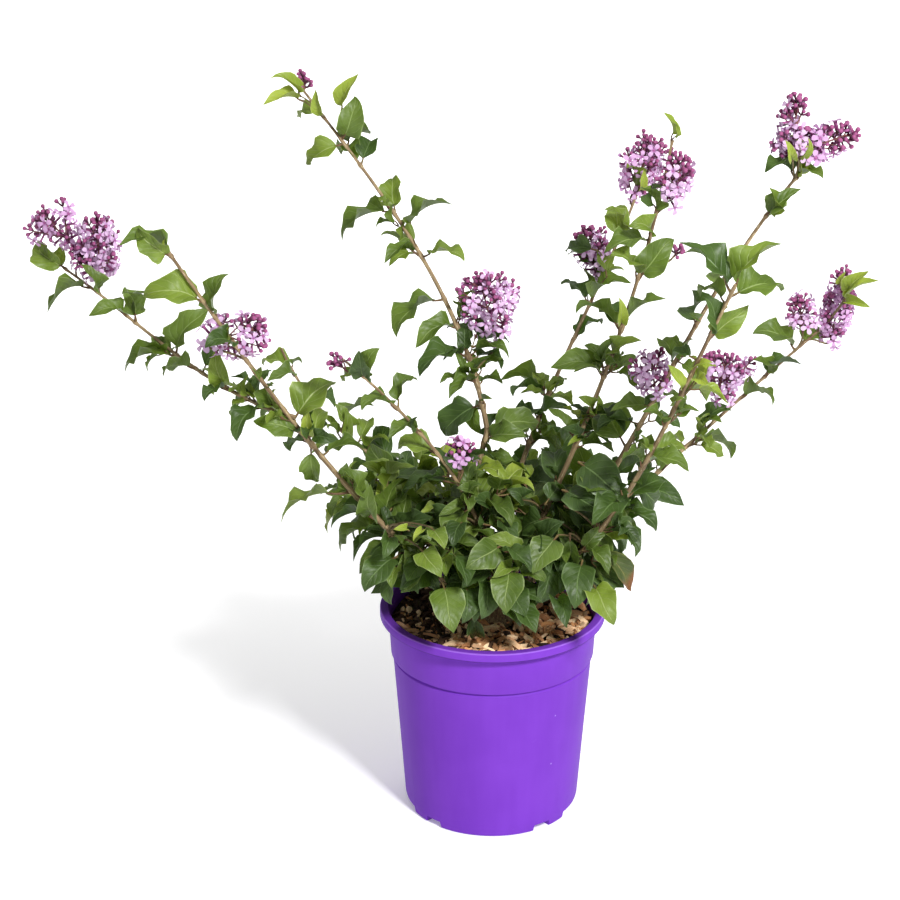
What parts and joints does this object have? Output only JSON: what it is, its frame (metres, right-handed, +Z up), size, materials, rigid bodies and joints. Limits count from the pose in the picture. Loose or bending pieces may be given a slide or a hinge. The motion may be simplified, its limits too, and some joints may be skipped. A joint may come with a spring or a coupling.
{
  "type": "potted lilac shrub",
  "caption": "Young lilac shrub with a fan of arching leafy canes and cone-shaped heads of pink-purple blossom, growing in bark-topped mix in a smooth tapered purple nursery pot.",
  "frame": {"origin": "centre of the pot's flat underside, at the level the pot stands on", "axes": "+Z up through the middle of the pot, +X to the right along the widest spread of the canes, -Y to the front"},
  "size_m": [0.9938, 0.576, 0.896],
  "materials": {
    "pot_plastic": "satin",
    "potting_mix": "matte",
    "bark": "matte",
    "leaves": "satin",
    "blossom": "matte"
  },
  "bodies": {
    "root": {"pot": "pot_plastic", "potting_mix": "potting_mix", "woody_base": "bark", "cane_left": "bark", "cane_back_left": "bark", "cane_slender": "bark", "cane_centre": "bark", "cane_back_right": "bark", "cane_centre_right": "bark", "cane_tall_right": "bark", "cane_front_right": "bark", "cane_far_right": "bark", "branch_far_left": "bark", "branch_tall_left": "bark", "shoot_low_left": "bark", "shoot_low_front_left": "bark", "shoot_low_front": "bark", "shoot_low_front_right": "bark", "shoot_low_back_left": "bark", "shoot_low_back_right": "bark", "blossom_far_left_outer": "blossom", "blossom_far_left": "blossom", "blossom_left": "blossom", "blossom_slender": "blossom", "blossom_low": "blossom", "blossom_tall_left_side": "blossom", "blossom_tall_left_tip": "blossom", "blossom_back_right_tip": "blossom", "blossom_centre_right_tip": "blossom", "blossom_back_right_side": "blossom", "blossom_tall_right_tip": "blossom", "blossom_tall_right_outer": "blossom", "blossom_tall_right_side": "blossom", "blossom_far_right_low": "blossom", "blossom_far_right_mid": "blossom", "blossom_far_right_tip": "blossom", "leaves_far_left": "leaves", "leaves_left_lower": "leaves", "leaves_left_upper": "leaves", "leaves_back_left": "leaves", "leaves_slender": "leaves", "leaves_tall_left_lower": "leaves", "leaves_tall_left_upper": "leaves", "leaves_back_right": "leaves", "leaves_centre_right": "leaves", "leaves_tall_right_lower": "leaves", "leaves_tall_right_upper": "leaves", "leaves_front_right": "leaves", "leaves_far_right": "leaves", "leaves_low_back_right": "leaves", "leaves_far_right_tip": "leaves", "leaves_base_top": "leaves", "leaves_base_front_left": "leaves", "leaves_base_front": "leaves", "leaves_base_front_right": "leaves", "leaves_base_right": "leaves", "leaves_base_left": "leaves", "leaves_base_back_left": "leaves", "leaves_base_back_right": "leaves"}
  },
  "joints": []
}
